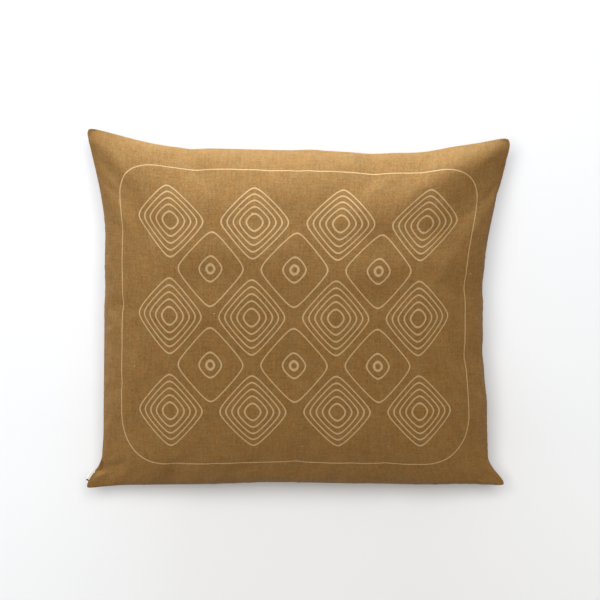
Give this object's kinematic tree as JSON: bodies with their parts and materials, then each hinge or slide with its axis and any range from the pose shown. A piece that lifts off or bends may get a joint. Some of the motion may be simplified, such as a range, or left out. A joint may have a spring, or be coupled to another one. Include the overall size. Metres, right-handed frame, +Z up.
{
  "type": "filled cushion cover",
  "caption": "Oblong filled cushion cover of plain-woven linen, knife-edge sewn, with drawn-in sides, soft ears and a folded side label, lying on its back.",
  "frame": {"origin": "on the surface under the middle of the bounding box, with the cover lying on its back", "axes": "+X along the wide sides to the right of the printed face, +Y to the cover's top edge, +Z up out of the printed face"},
  "size_m": [0.5936, 0.5028, 0.1545],
  "materials": {
    "linen": "matt plain-woven linen in ochre brown with slubs, the front printed with fine cream lines",
    "label_tape": "fine woven tape in off-white, blank"
  },
  "bodies": {
    "root": {"filled_cover": "linen", "side_label": "label_tape"}
  },
  "joints": []
}
